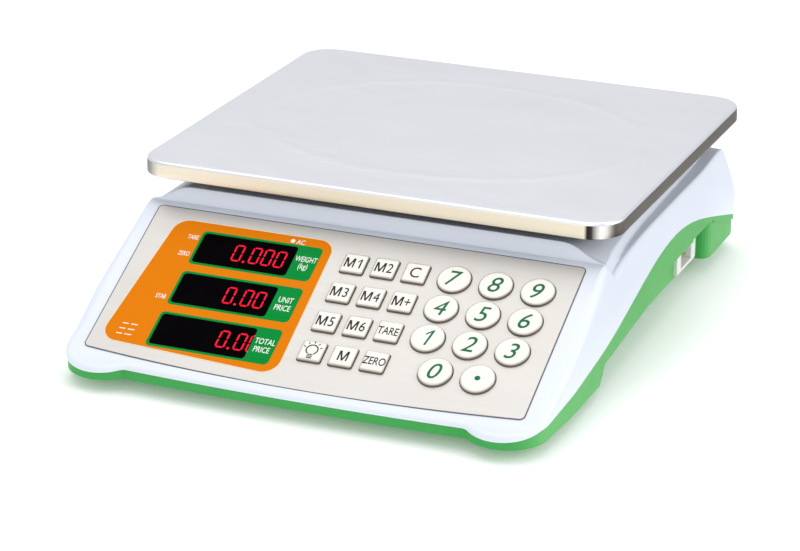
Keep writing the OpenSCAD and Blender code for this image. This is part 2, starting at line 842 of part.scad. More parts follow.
module board_screws() {
  low = main_board_box[0];
  top = low[2] + main_board_box[1][2];
  color("silver") {
    for (x = [4, 94], y = [4, 76]) {
      rod([low[0] + x, low[1] + y], screw_r, top - 7, top + 1);
      rod([low[0] + x, low[1] + y], screw_head_r - 0.3, top, top + 2);
    }
    on_panel() {
      for (p = board_posts_display) translate([p[0], p[1], display_board_w - board_t]) {
        cylinder(r = screw_r, h = 6);
        translate([0, 0, -2]) cylinder(r = screw_head_r - 0.3, h = 2);
      }
      for (p = board_posts_keys) translate([p[0], p[1], key_board_w - board_t]) {
        cylinder(r = screw_r, h = 5);
        translate([0, 0, -2]) cylinder(r = screw_head_r - 0.3, h = 2);
      }
    }
  }
}

top_casing();
bottom_casing();
keypad_plate();
display_label();
weight_window();
unit_window();
total_window();
weight_digits();
unit_digits();
total_digits();
display_board();
keypad_board();
keypad_membrane();
key_0();
key_1();
key_2();
key_3();
key_4();
key_5();
key_6();
key_7();
key_8();
key_9();
key_point();
key_m1();
key_m2();
key_m3();
key_m4();
key_m5();
key_m6();
key_m();
key_m_plus();
key_clear();
key_tare();
key_zero();
key_light();
pan();
pan_support();
pan_pads();
support_bolts();
load_cell();
load_cell_mount();
load_cell_bolts();
overload_stops();
main_board();
ribbon_cable();
battery();
battery_clamp();
transformer();
mains_inlet();
inlet_pins();
power_switch();
switch_rocker();
foot_front_left();
foot_front_right();
foot_rear_left();
foot_rear_right();
foot_inserts();
casing_screws();
board_screws();
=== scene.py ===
import json
import math

import bmesh
import bpy
import numpy as np
from mathutils import Matrix, Vector


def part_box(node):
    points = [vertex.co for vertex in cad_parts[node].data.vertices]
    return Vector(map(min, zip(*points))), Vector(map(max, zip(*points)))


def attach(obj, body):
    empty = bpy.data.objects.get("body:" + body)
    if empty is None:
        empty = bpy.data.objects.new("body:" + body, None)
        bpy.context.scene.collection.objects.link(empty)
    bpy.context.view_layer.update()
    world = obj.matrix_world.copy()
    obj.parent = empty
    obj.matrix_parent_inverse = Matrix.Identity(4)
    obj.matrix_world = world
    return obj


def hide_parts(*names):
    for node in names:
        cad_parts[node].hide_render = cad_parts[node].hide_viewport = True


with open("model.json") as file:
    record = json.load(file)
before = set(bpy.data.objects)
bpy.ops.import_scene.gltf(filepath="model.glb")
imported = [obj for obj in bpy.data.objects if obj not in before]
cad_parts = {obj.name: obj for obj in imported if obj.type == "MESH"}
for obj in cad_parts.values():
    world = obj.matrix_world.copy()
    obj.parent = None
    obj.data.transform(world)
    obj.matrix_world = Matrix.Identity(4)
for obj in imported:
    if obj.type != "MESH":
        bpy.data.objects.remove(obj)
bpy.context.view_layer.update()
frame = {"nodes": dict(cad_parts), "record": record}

MM = 0.001
BODY_OF = {n: b for b, nodes in frame["record"]["behaviour"]["bodies"].items() for n in nodes}


def box_mm(node):
    """Corners of a CAD node at rest, in millimetres."""
    low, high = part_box(node)
    return np.array(low) / MM, np.array(high) / MM


# ---------------------------------------------------------------- frame of the front panel
PLATE_LENGTH = 126.7
PLATE_T = 1.2
PLATE_BOW = 6.8
CORNER_R = 3.0
press_axis = next(j for j in frame["record"]["behaviour"]["joints"] if j["name"] == "key_5_press")["axis"]
TILT = math.atan2(press_axis[1], -press_axis[2])
SIN, COS, TAN = math.sin(TILT), math.cos(TILT), math.tan(TILT)
plate_high = box_mm("keypad_plate")[1]
PANEL_Y = plate_high[1] - PLATE_LENGTH * COS - PLATE_T * SIN
PANEL_Z = plate_high[2] - PLATE_LENGTH * SIN
PLATE_HALF = plate_high[0]


def from_panel(points):
    """Panel coordinates (across, up the slope, out of the plate) in mm to the row frame in metres."""
    p = np.asarray(points, dtype=float)
    y = PANEL_Y + p[:, 1] * COS - p[:, 2] * SIN
    z = PANEL_Z + p[:, 1] * SIN + p[:, 2] * COS
    return np.stack([p[:, 0], y, z], axis=1) * MM


# ---------------------------------------------------------------- helpers for meshes
def add_mesh(name, verts, faces, material, sharp=30.0):
    """A mesh object from vertices in metres, shaded smooth up to an angle in degrees."""
    mesh = bpy.data.meshes.new(name)
    mesh.from_pydata([tuple(map(float, v)) for v in verts], [], [tuple(map(int, f)) for f in faces])
    mesh.validate()
    mesh.shade_smooth()
    mesh.set_sharp_from_angle(angle=math.radians(sharp))
    piece = bpy.data.objects.new(name, mesh)
    bpy.context.scene.collection.objects.link(piece)
    mesh.materials.append(material)
    return piece


def grid_faces(rows, cols, flip=False, first=0, close=False):
    """Quads between rows * cols vertices stored row by row; close joins the last column to the first."""
    faces = []
    for i in range(rows - 1):
        for j in range(cols if close else cols - 1):
            k = (j + 1) % cols
            quad = (i * cols + j, i * cols + k, (i + 1) * cols + k, (i + 1) * cols + j)
            faces.append(tuple(first + q for q in (reversed(quad) if flip else quad)))
    return faces


def fix_normals(piece):
    """Turns the faces of a closed mesh outwards."""
    bm = bmesh.new()
    bm.from_mesh(piece.data)
    bmesh.ops.recalc_face_normals(bm, faces=bm.faces)
    bm.to_mesh(piece.data)
    bm.free()
    return piece


def arc(cx, cy, r, a0, a1, n):
    """n + 1 points on a circle from angle a0 to a1, in degrees."""
    a = np.radians(np.linspace(a0, a1, n + 1))
    return [(cx + r * math.cos(t), cy + r * math.sin(t)) for t in a]


def disc(centre, r, n):
    """Small round outline of n + 1 points."""
    return [(x + centre[0], y + centre[1]) for x, y in arc(0, 0, r, 0, 352.5, n)]


def rounded_outline(w, h, r, n=8, cx=0.0, cy=0.0):
    """Rounded rectangle, anticlockwise from its right-hand side."""
    x, y = w / 2 - r, h / 2 - r
    return [
        *arc(cx + x, cy + y, r, 0, 90, n), *arc(cx - x, cy + y, r, 90, 180, n),
        *arc(cx - x, cy - y, r, 180, 270, n), *arc(cx + x, cy - y, r, 270, 360, n),
    ]


def prism(outline, low, high):
    """Vertices and faces of an upright solid on an outline."""
    n = len(outline)
    verts = [(x, y, z) for z in (low, high) for x, y in outline]
    faces = grid_faces(2, n, close=True)
    faces.append(tuple(reversed(range(n))))
    faces.append(tuple(range(n, 2 * n)))
    return verts, faces


def join_parts(parts):
    """One vertex and face list from several."""
    verts, faces = [], []
    for v, f in parts:
        faces += [tuple(i + len(verts) for i in face) for face in f]
        verts += list(v)
    return verts, faces


def panel_piece(name, parts, material, body="casing", sharp=30.0):
    """A piece built from solids in panel coordinates."""
    verts, faces = join_parts(parts)
    piece = add_mesh(name, from_panel(verts), faces, material, sharp)
    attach(piece, body)
    return piece


def cut(piece, verts, faces):
    """Cuts a solid, in metres, out of a piece."""
    mesh = bpy.data.meshes.new("cutter")
    mesh.from_pydata([tuple(map(float, v)) for v in verts], [], faces)
    cutter = bpy.data.objects.new("cutter", mesh)
    bpy.context.scene.collection.objects.link(cutter)
    mod = piece.modifiers.new("cut", "BOOLEAN")
    mod.operation = "DIFFERENCE"
    mod.solver = "EXACT"
    mod.object = cutter
    evaluated = piece.evaluated_get(bpy.context.evaluated_depsgraph_get())
    result = bpy.data.meshes.new_from_object(evaluated)
    piece.modifiers.clear()
    piece.data = result
    bpy.data.objects.remove(cutter)


def smooth_step(x, a, b):
    """Eases from 0 at a to 1 at b."""
    s = np.clip((x - a) / (b - a), 0, 1)
    return s * s * (3 - 2 * s)


def smooth_min(a, b, k):
    """The lower of a and b, rounded where they are within k of each other."""
    h = np.maximum(k - np.abs(a - b), 0) / k
    return np.minimum(a, b) - h * h * k / 4


def smooth_max(a, b, k):
    """The higher of a and b, rounded where they are within k of each other."""
    return -smooth_min(-a, -b, k)


def bezier(p, n):
    """n points on a cubic curve with four control points."""
    t = np.linspace(0, 1, n)[:, None]
    p = np.array(p, dtype=float)
    return p[0] * (1 - t) ** 3 + 3 * p[1] * t * (1 - t) ** 2 + 3 * p[2] * t * t * (1 - t) + p[3] * t ** 3


# ---------------------------------------------------------------- materials
NOISE_RANGE = (0.35, 0.65)


def start_material(name):
    """A new node material with its tree and shader."""
    mat = bpy.data.materials.new(name)
    mat.use_nodes = True
    tree = mat.node_tree
    return mat, tree, tree.nodes["Principled BSDF"]


def noise(tree, scale, detail=2.0, stretch=(1, 1, 1)):
    """Noise over the row frame; scale is in cells per metre, and stretch multiplies it on each axis."""
    coords = tree.nodes.new("ShaderNodeTexCoord")
    mapping = tree.nodes.new("ShaderNodeMapping")
    mapping.inputs["Scale"].default_value = stretch
    tex = tree.nodes.new("ShaderNodeTexNoise")
    tex.inputs["Scale"].default_value = scale
    tex.inputs["Detail"].default_value = detail
    tree.links.new(coords.outputs["Object"], mapping.inputs["Vector"])
    tree.links.new(mapping.outputs["Vector"], tex.inputs["Vector"])
    return tex.outputs["Fac"]


def ramp(tree, value, low, high):
    """Colours from low to high over the middle of a noise's range."""
    node = tree.nodes.new("ShaderNodeValToRGB")
    for element, position, colour in zip(node.color_ramp.elements, NOISE_RANGE, (low, high)):
        element.position = position
        element.color = (*colour, 1)
    tree.links.new(value, node.inputs["Fac"])
    return node.outputs["Color"]


def vary(tree, value, low, high, start=0.3, end=0.7):
    """A number from low to high as value goes from start to end."""
    node = tree.nodes.new("ShaderNodeMapRange")
    node.inputs["From Min"].default_value = start
    node.inputs["From Max"].default_value = end
    node.inputs["To Min"].default_value = low
    node.inputs["To Max"].default_value = high
    tree.links.new(value, node.inputs["Value"])
    return node.outputs["Result"]


def bump(tree, shader, value, depth_mm):
    """Fine relief from a value between 0 and 1."""
    node = tree.nodes.new("ShaderNodeBump")
    node.inputs["Distance"].default_value = depth_mm * MM
    node.inputs["Strength"].default_value = 1.0
    tree.links.new(value, node.inputs["Height"])
    tree.links.new(node.outputs["Normal"], shader.inputs["Normal"])


def tinted(colour, factor):
    """A colour made lighter or darker."""
    return tuple(c * factor for c in colour)


def moulded_plastic(name, colour, roughness, grain_mm=0.5, grain_depth=0.003, mottle=0.02, gloss=0.5):
    """Injection-moulded plastic: faint flow mottling, fine grain, uneven gloss."""
    mat, tree, shader = start_material(name)
    flow = noise(tree, 14, 3, (1, 1, 2.5))
    tree.links.new(
        ramp(tree, flow, tinted(colour, 1 - mottle), tinted(colour, 1 + mottle / 2)),
        shader.inputs["Base Color"],
    )
    uneven = vary(tree, noise(tree, 60, 4), roughness * 0.88, roughness * 1.12)
    tree.links.new(uneven, shader.inputs["Roughness"])
    bump(tree, shader, noise(tree, 1000 / grain_mm, 2), grain_depth)
    shader.inputs["IOR"].default_value = 1.49
    shader.inputs["Specular IOR Level"].default_value = gloss
    return mat


def brushed_metal(name, colour, roughness, along="x", line_mm=0.12, depth=0.004, mottle=0.05, metallic=1.0):
    """Brushed metal: fine lines along one axis, soft cloudiness and uneven gloss."""
    mat, tree, shader = start_material(name)
    fine = 1000 / line_mm
    across = {"x": (0.012, 1, 1), "y": (1, 0.012, 1), "z": (1, 1, 0.012), "all": (1, 1, 1)}[along]
    lines = noise(tree, fine * 0.35, 3, across)
    cloud = noise(tree, 22, 3, (0.5, 1, 1))
    mix = tree.nodes.new("ShaderNodeMix")
    mix.inputs["Factor"].default_value = 0.5
    tree.links.new(lines, mix.inputs["A"])
    tree.links.new(cloud, mix.inputs["B"])
    tree.links.new(
        ramp(tree, mix.outputs["Result"], tinted(colour, 1 - mottle), tinted(colour, 1 + mottle / 3)),
        shader.inputs["Base Color"],
    )
    tree.links.new(vary(tree, lines, roughness * 0.85, roughness * 1.15), shader.inputs["Roughness"])
    bump(tree, shader, lines, depth)
    shader.inputs["Metallic"].default_value = metallic
    return mat


def facing(tree, axis):
    """How far the surface faces along an axis: 1 along it, 0 across it, -1 away from it."""
    geometry = tree.nodes.new("ShaderNodeNewGeometry")
    dot = tree.nodes.new("ShaderNodeVectorMath")
    dot.operation = "DOT_PRODUCT"
    dot.inputs[1].default_value = axis
    tree.links.new(geometry.outputs["Normal"], dot.inputs[0])
    return dot.outputs["Value"]


def paint_light_and_shade_by_facing(mat, axis, stops):
    """Paints light and shade into the base colour: multiplies it by tones that follow the way the surface
    faces.
    """
    tree = mat.node_tree
    shader = tree.nodes["Principled BSDF"]
    tones = tree.nodes.new("ShaderNodeValToRGB")
    for i, (at, tone) in enumerate(stops):
        if i > 1:
            tones.color_ramp.elements.new((at + 1) / 2)
        tones.color_ramp.elements[i].position = (at + 1) / 2
        tones.color_ramp.elements[i].color = (*tone, 1)
    tree.links.new(vary(tree, facing(tree, axis), 0, 1, -1, 1), tones.inputs["Fac"])
    mix = tree.nodes.new("ShaderNodeMix")
    mix.data_type = "RGBA"
    mix.blend_type = "MULTIPLY"
    factor, first, second = mix.inputs[0], mix.inputs[6], mix.inputs[7]
    factor.default_value = 1
    tree.links.new(shader.inputs["Base Color"].links[0].from_socket, first)
    tree.links.new(tones.outputs["Color"], second)
    tree.links.new(mix.outputs[2], shader.inputs["Base Color"])


def printed_film(name, colour, roughness=0.5, mottle=0.03, gloss=0.15):
    """Ink on plastic film: a faint screen grain under a soft gloss."""
    mat, tree, shader = start_material(name)
    tree.links.new(
        ramp(tree, noise(tree, 1800, 2), tinted(colour, 1 - mottle), tinted(colour, 1 + mottle)),
        shader.inputs["Base Color"],
    )
    uneven = vary(tree, noise(tree, 80, 3), roughness * 0.85, roughness * 1.2)
    tree.links.new(uneven, shader.inputs["Roughness"])
    bump(tree, shader, noise(tree, 900, 2), 0.001)
    shader.inputs["Specular IOR Level"].default_value = gloss
    return mat


def lit_segment(name, colour, strength):
    """Lit display segment with a slightly uneven glow."""
    mat, tree, shader = start_material(name)
    glow = ramp(tree, noise(tree, 400, 1), tinted(colour, 0.8), colour)
    tree.links.new(glow, shader.inputs["Base Color"])
    tree.links.new(glow, shader.inputs["Emission Color"])
    shader.inputs["Emission Strength"].default_value = strength
    shader.inputs["Roughness"].default_value = 0.6
    shader.inputs["Specular IOR Level"].default_value = 0.05
    return mat


def soft_rubber(name, colour, roughness=0.75):
    """Rubber or cable sheath: dull, with a fine rough grain."""
    mat, tree, shader = start_material(name)
    blotches = ramp(tree, noise(tree, 300, 4), tinted(colour, 0.85), tinted(colour, 1.2))
    tree.links.new(blotches, shader.inputs["Base Color"])
    tree.links.new(vary(tree, noise(tree, 150, 3), roughness * 0.85, roughness), shader.inputs["Roughness"])
    bump(tree, shader, noise(tree, 2500, 3), 0.02)
    return mat


WHITE = moulded_plastic("casing_white", (0.745, 0.785, 0.875), 0.34, 0.8, 0.001, 0.012, 0.4)
GREEN = moulded_plastic("base_green", (0.125, 0.455, 0.135), 0.5, 0.45, 0.006, 0.04, 0.2)
PLATE_STEEL = brushed_metal("panel_steel", (0.63, 0.605, 0.575), 0.5, "x", metallic=0.55)
KEY_STEEL = brushed_metal("key_steel", (0.64, 0.62, 0.58), 0.38, "x", 0.1, 0.002, 0.03, 0.6)
PAN_STEEL = brushed_metal("pan_steel", (0.83, 0.835, 0.875), 0.42, "x", 0.14, 0.002, 0.03)
# Pan rim: a brighter copy of the pan steel that carries painted reflections, set further below.
RIM_PAINTED_REFLECTIONS = brushed_metal("rim_steel_painted_reflections", (0.97, 0.97, 0.97), 0.42, "x", 0.14, 0.002, 0.03)
# Painted shade: near-black steel for the pan's downward faces, to darken the gap under the pan.
UNDERSIDE_PAINTED_SHADE = brushed_metal("pan_underside_painted_shade", (0.05, 0.048, 0.045), 0.6, "x", 0.14, 0.002, 0.03)
ORANGE = printed_film("label_orange", (0.72, 0.195, 0.003), 0.5, 0.03, 0.02)
CREAM = printed_film("label_edge", (0.88, 0.74, 0.50))
FRAME_GREEN = printed_film("frame_green", (0.003, 0.245, 0.04), 0.5, 0.03, 0.02)
FILM_BLACK = printed_film("window_dark", (0.001, 0.0006, 0.001), 0.6, 0.3, 0.01)
INK_WHITE = printed_film("ink_white", (0.9, 0.9, 0.86))
INK_GREEN = printed_film("ink_green", (0.008, 0.15, 0.06))
INK_GREY = printed_film("ink_grey", (0.022, 0.021, 0.024))
SEGMENT_RED = lit_segment("digit_red", (0.72, 0.006, 0.03), 0.75)
INLET_WHITE = moulded_plastic("inlet_white", (0.80, 0.80, 0.77), 0.38)
PIN_BRASS = brushed_metal("pin_brass", (0.78, 0.70, 0.52), 0.3, "x")
BLACK_PLASTIC = moulded_plastic("switch_black", (0.02, 0.02, 0.02), 0.45)
ROCKER_RED = moulded_plastic("rocker_red", (0.50, 0.01, 0.01), 0.25)
RUBBER = soft_rubber("pad_black", (0.022, 0.022, 0.022))
SILICONE = soft_rubber("silicone_grey", (0.30, 0.30, 0.32), 0.6)
CAST = brushed_metal("cast_grey", (0.55, 0.56, 0.58), 0.6, "all", 1.2, 0.05, 0.12)
MILLED = brushed_metal("cell_aluminium", (0.72, 0.73, 0.75), 0.35, "y")
BOLT = brushed_metal("bolt_steel", (0.60, 0.60, 0.60), 0.35, "all", 0.4, 0.01, 0.1)
BOARD = printed_film("board_green", (0.01, 0.09, 0.035), 0.35, 0.15)
CABLE = soft_rubber("cable_grey", (0.35, 0.35, 0.37), 0.55)
BATTERY = moulded_plastic("battery_grey", (0.035, 0.04, 0.055), 0.5)
CORE = brushed_metal("core_dark", (0.10, 0.10, 0.11), 0.55, "z", 0.5, 0.03, 0.2)
# Painted shade: near-black sheet for the groove around the steel plate.
GROOVE_PAINTED_SHADE = soft_rubber("plate_groove_painted_shade", (0.09, 0.09, 0.10), 0.6)

# Painted shade: the sides of the key caps are darkened to a brown grey and their tops kept bright, by how far
# each face turns from the panel.
paint_light_and_shade_by_facing(KEY_STEEL, (0, -SIN, COS), [
    (0.0, (0.36, 0.31, 0.27)), (0.35, (0.42, 0.37, 0.33)), (0.8, (0.92, 0.90, 0.88)), (0.97, (1.0, 1.0, 1.0)),
])
# Painted shade: the faces of the green base that turn to the front are darkened.
paint_light_and_shade_by_facing(GREEN, (0, -1, 0), [
    (0.3, (1.0, 1.0, 1.0)), (0.9, (0.42, 0.80, 0.60)), (1.0, (0.42, 0.80, 0.60)),
])
# Painted reflections: bright cream and dark bands on the pan's rim, set by which way each face turns.
paint_light_and_shade_by_facing(RIM_PAINTED_REFLECTIONS, (1, 0, 0), [
    (-1.0, (0.30, 0.30, 0.31)), (-0.88, (0.10, 0.095, 0.09)), (-0.6, (0.32, 0.31, 0.30)),
    (-0.25, (0.90, 0.85, 0.75)), (0.08, (0.99, 0.94, 0.84)), (0.17, (0.03, 0.025, 0.025)),
    (0.3, (0.05, 0.045, 0.04)), (0.44, (0.60, 0.58, 0.55)), (0.55, (0.98, 0.96, 0.92)),
    (0.7, (0.90, 0.87, 0.80)), (0.88, (0.30, 0.27, 0.25)), (1.0, (0.62, 0.57, 0.53)),
])

NODE_MATERIALS = {
    "top_casing": WHITE, "bottom_casing": GREEN, "keypad_plate": PLATE_STEEL, "display_label": ORANGE,
    "display_board": BOARD, "keypad_board": BOARD, "keypad_membrane": SILICONE,
    "pan": PAN_STEEL, "pan_support": CAST, "pan_pads": RUBBER, "support_bolts": BOLT, "load_cell": MILLED,
    "load_cell_mount": CAST, "load_cell_bolts": BOLT, "overload_stops": BOLT, "main_board": BOARD,
    "ribbon_cable": CABLE, "battery": BATTERY, "battery_clamp": BOLT, "transformer": CORE,
    "mains_inlet": INLET_WHITE, "inlet_pins": PIN_BRASS, "power_switch": BLACK_PLASTIC,
    "switch_rocker": ROCKER_RED, "foot_inserts": PIN_BRASS, "casing_screws": BOLT, "board_screws": BOLT,
}
for node, obj in frame["nodes"].items():
    if node.startswith("key_"):
        mat = KEY_STEEL
    elif node.startswith("foot_") and node != "foot_inserts":
        mat = RUBBER
    elif node.endswith("_window"):
        mat = FILM_BLACK
    elif node.endswith("_digits"):
        mat = SEGMENT_RED
    else:
        mat = NODE_MATERIALS[node]
    obj.data.materials.clear()
    obj.data.materials.append(mat)


# ---------------------------------------------------------------- camera, light and floor
CAMERA_AT = (0.7014, -1.7148, 0.7383)
CAMERA_TURN = math.radians(22.602)
CAMERA_DOWN = math.radians(21.081)
CAMERA_ROLL = math.radians(0.238)
LENS = 129.48
FLOOR_HALF = 8.0
CARD_Z = 0.0006


def make_camera():
    """The one camera, above and to the right of the front."""
    data = bpy.data.cameras.new("camera")
    data.lens = LENS
    data.sensor_width = 36
    cam = bpy.data.objects.new("camera", data)
    turn = Matrix.Rotation(CAMERA_TURN, 4, "Z")
    tip = Matrix.Rotation(math.pi / 2 - CAMERA_DOWN, 4, "X")
    roll = Matrix.Rotation(CAMERA_ROLL, 4, "Z")
    cam.matrix_world = Matrix.Translation(CAMERA_AT) @ turn @ tip @ roll
    bpy.context.scene.collection.objects.link(cam)
    bpy.context.scene.camera = cam


def area_light(name, at, target, size, power, colour=(1, 1, 1)):
    """Soft rectangular light that faces a point."""
    data = bpy.data.lights.new(name, "AREA")
    data.shape = "RECTANGLE"
    data.size, data.size_y = size
    data.energy = power
    data.color = colour
    lamp = bpy.data.objects.new(name, data)
    lamp.location = at
    lamp.rotation_euler = (Vector(target) - Vector(at)).to_track_quat("-Z", "Y").to_euler()
    bpy.context.scene.collection.objects.link(lamp)


def flat_sheet(name, low, high, z, mat):
    """One level rectangle between two corners."""
    (x0, y0), (x1, y1) = low, high
    return add_mesh(name, [(x0, y0, z), (x1, y0, z), (x1, y1, z), (x0, y1, z)], [(0, 1, 2, 3)], mat)


def make_studio():
    """White surroundings, three soft lights and a pale floor."""
    world = bpy.data.worlds.new("studio")
    bpy.context.scene.world = world
    world.use_nodes = True
    background = world.node_tree.nodes["Background"]
    background.inputs["Color"].default_value = (0.96, 0.98, 1.0, 1)
    background.inputs["Strength"].default_value = 0.76
    bpy.context.scene.view_settings.view_transform = "Standard"
    area_light("top_light", (-0.3, 0.3, 1.9), (0, 0, 0), (1.8, 1.8), 16, (1, 0.99, 0.97))
    area_light("right_light", (2.0, 0.3, 1.0), (0, 0, 0.05), (1.4, 1.4), 14)
    area_light("front_light", (0.3, -2.4, 1.2), (0, 0, 0.05), (2.0, 1.2), 10, (1, 0.98, 0.95))
    mat, tree, shader = start_material("floor_white")
    pale = ramp(tree, noise(tree, 3, 2), (0.93, 0.93, 0.93), (0.95, 0.95, 0.95))
    tree.links.new(pale, shader.inputs["Base Color"])
    shader.inputs["Roughness"].default_value = 0.9
    shader.inputs["Specular IOR Level"].default_value = 0.1
    shader.inputs["Emission Color"].default_value = (1, 1, 1, 1)
    shader.inputs["Emission Strength"].default_value = 0.13
    floor = flat_sheet("floor", (-FLOOR_HALF, -FLOOR_HALF), (FLOOR_HALF, FLOOR_HALF), 0, mat)


def reflection_card(name, low, high, colour):
    """A flat card just over the floor that only shows in reflections."""
    mat, tree, shader = start_material(name)
    tree.links.new(ramp(tree, noise(tree, 4, 2), tinted(colour, 0.9), colour), shader.inputs["Base Color"])
    shader.inputs["Roughness"].default_value = 0.9
    card = flat_sheet(name, low, high, CARD_Z, mat)
    card.visible_camera = card.visible_diffuse = card.visible_shadow = card.visible_transmission = False


make_camera()
make_studio()
reflection_card("dark_card", (0.21, -0.12), (0.9, 1.3), (0.03, 0.028, 0.026))
reflection_card("warm_card", (-0.7, -0.75), (0.2, -0.25), (0.9, 0.80, 0.62))


# ---------------------------------------------------------------- top casing
HALF_W, HALF_D, DECK_Z = box_mm("top_casing")[1]
BULGE_R, REAR_R = 28.0, 22.0
BULGE_X, BULGE_Y = HALF_W - BULGE_R, -HALF_D + BULGE_R
SIDE_IN, SIDE_FULL_Y = 2.0, -150.0
BOW_FRONT, BOW_SAG = -HALF_D + 6, 3.0
BOW_R = (BULGE_X ** 2 + BOW_SAG ** 2) / (2 * BOW_SAG)
BOW_Y = BOW_FRONT + BOW_R
HOLLOW_R = 8.0
HOLLOW_Y = BOW_FRONT + 2.1 - HOLLOW_R
HOLLOW_X = BULGE_X - math.sqrt((BULGE_R + HOLLOW_R) ** 2 - (BULGE_Y - HOLLOW_Y) ** 2)
BULGE_START = (BULGE_X - HOLLOW_X) / (BULGE_R + HOLLOW_R)
SURROUND_DROP = 0.5
WALL = 2.5
PLATE_GROOVE = 0.7
DISPLAY_OPENING = (-112.5, 6, 73.5, 106)
KEY_OPENING = (-13, 10, 156.5, 105)
HUB_SIZE, HUB_Y = (44, 52), 15
RIDGE_Y, DECK_FRONT = -82.5, -78.0
LIP_Z, LIP_RISE = 17.4, 0.127
DECK_HALF = 137.0
CASING_SHARP = 40
SIDE_LEAN, LEAN_FROM = 6.0 / 46.0, 50.0
LEAN_SOFT, LEAN_X = 20.0, 161
PARTING = np.concatenate([
    [[-HALF_D - 1, 13.4], [-212, 14.8], [-206, 16.4]],
    bezier([[-200, 18.2], [-180, 20.5], [-160, 22.5], [-135, 25.8]], 11)[:-1],
    bezier([[-135, 25.8], [-105, 29.5], [-90, 31], [-63, 37.8]], 11)[:-1],
    bezier([[-63, 37.8], [-20, 48.6], [15, 59], [58, 59]], 11)[:-1],
    bezier([[58, 59], [100, 59], [130, 47.5], [HALF_D, 22.3]], 11),
])
REAR_FALL = bezier([[160, DECK_Z], [183, DECK_Z], [192, 43], [HALF_D, 27]], 60)


def parting_z(y):
    """Height of the joint between the two casings."""
    return np.interp(y, PARTING[:, 0], PARTING[:, 1])


def front_edge(x, t):
    """Front of the outline at x, moved in by t: bow, hollow, bulge."""
    ax = np.abs(x)
    bow = BOW_Y - np.sqrt((BOW_R - t) ** 2 - ax ** 2)
    hollow = HOLLOW_Y + np.sqrt(np.maximum((HOLLOW_R + t) ** 2 - (ax - HOLLOW_X) ** 2, 0))
    bulge = BULGE_Y - np.sqrt(np.maximum((BULGE_R - t) ** 2 - (ax - BULGE_X) ** 2, 0))
    start = BULGE_X - BULGE_START * (BULGE_R - t)
    return np.where(ax < HOLLOW_X, bow, np.where(ax < start, hollow, bulge))


def rear_edge(x, t):
    """Rear of the outline at x, moved in by t."""
    ax = np.abs(x)
    corner = HALF_D - REAR_R + np.sqrt(np.maximum((REAR_R - t) ** 2 - (ax - HALF_W + REAR_R) ** 2, 0))
    return np.where(ax < HALF_W - REAR_R, HALF_D - t, corner)


def edge_distance(x, y, t):
    """Distance from the outline, inwards."""
    ax = np.abs(x)
    side = HALF_W - t - ax
    start = BULGE_X - BULGE_START * (BULGE_R - t)
    slope = np.gradient(front_edge(x, t), axis=-1) / np.maximum(np.gradient(ax, axis=-1), 1e-6)
    front = (y - front_edge(x, t)) / np.sqrt(1 + np.clip(slope, -1, 1) ** 2)
    bulge = BULGE_R - t - np.hypot(ax - BULGE_X, y - BULGE_Y)
    corner = REAR_R - t - np.hypot(ax - HALF_W + REAR_R, y - HALF_D + REAR_R)
    d = np.minimum(side, HALF_D - t - y)
    d = np.where((ax < start) & (y < BULGE_Y), np.minimum(d, front), d)
    d = np.where((ax >= start) & (y < BULGE_Y), bulge, d)
    d = np.where((ax > HALF_W - REAR_R) & (y > HALF_D - REAR_R), corner, d)
    return np.maximum(d, 0)


def top_height(x, y, t):
    """Height of the top surface: front slope, ridge, deck, shoulders and falling rear."""
    ax = np.abs(x)
    slope = PANEL_Z + (y - PANEL_Y) * TAN - SURROUND_DROP / COS
    lip = LIP_Z + (y + HALF_D + 1) * LIP_RISE
    ridge = PANEL_Z + (RIDGE_Y - PANEL_Y) * TAN - SURROUND_DROP / COS
    front = smooth_min(smooth_max(slope, lip, 1.5), ridge + 0 * y, 2.5)
    crease = 81 - 12.5 * np.exp(-(y - DECK_FRONT) / 32) + 3 * smooth_step(y, 120, 176)
    low = np.where(y < DECK_FRONT, front, 0)
    s = smooth_step(y, DECK_FRONT - 1, DECK_FRONT + 15)
    shoulder = np.where(y < DECK_FRONT - 1, low, ridge * (1 - s) + crease * s)
    # the deck slopes off to its sides and drops steeply at edge_x
    edge_x = 154.6 - t + 7.5 * np.exp(-np.maximum(y - DECK_FRONT, 0) / 42) - 0.03 * np.maximum(y, 0)
    fall_x = 0.6 - 0.22 * smooth_step(y, 0, 60)
    facet = DECK_Z - fall_x * (ax - DECK_HALF)
    deck = smooth_min(DECK_Z + 0 * ax, facet, 4)
    deck = smooth_min(deck, DECK_Z - fall_x * (edge_x - DECK_HALF) - 3.5 * (ax - edge_x), 1.5)
    deck = smooth_min(deck, ridge + 8 * (y - t - DECK_FRONT + 0.8), 3)
    fillet = 2.0 + 3.5 * (1 - smooth_step(y, DECK_FRONT + 4, DECK_FRONT + 14))
    z = smooth_max(shoulder, deck, fillet)
    fall = np.interp(y + t, REAR_FALL[:, 0], REAR_FALL[:, 1])
    return smooth_min(z, fall, 4) - t


def lean_in(x, z):
    """Pulls the outermost part of the casing in above the height where the sides start to lean."""
    rise = z - LEAN_FROM
    half = LEAN_SOFT / 2
    ramped = np.where(rise > half, rise, np.maximum(rise + half, 0) ** 2 / (2 * LEAN_SOFT))
    weight = np.clip((np.abs(x) - LEAN_X) / (HALF_W - LEAN_X), 0, 1)
    return x - np.sign(x) * SIDE_LEAN * ramped * weight


def taper(x, y):
    """Brings the front bulges in, as the sides close towards the front."""
    near = 1 - np.clip((y - BULGE_Y) / (SIDE_FULL_Y - BULGE_Y), 0, 1)
    return x - np.sign(x) * SIDE_IN * near * smooth_step(np.abs(x), 60, 112)


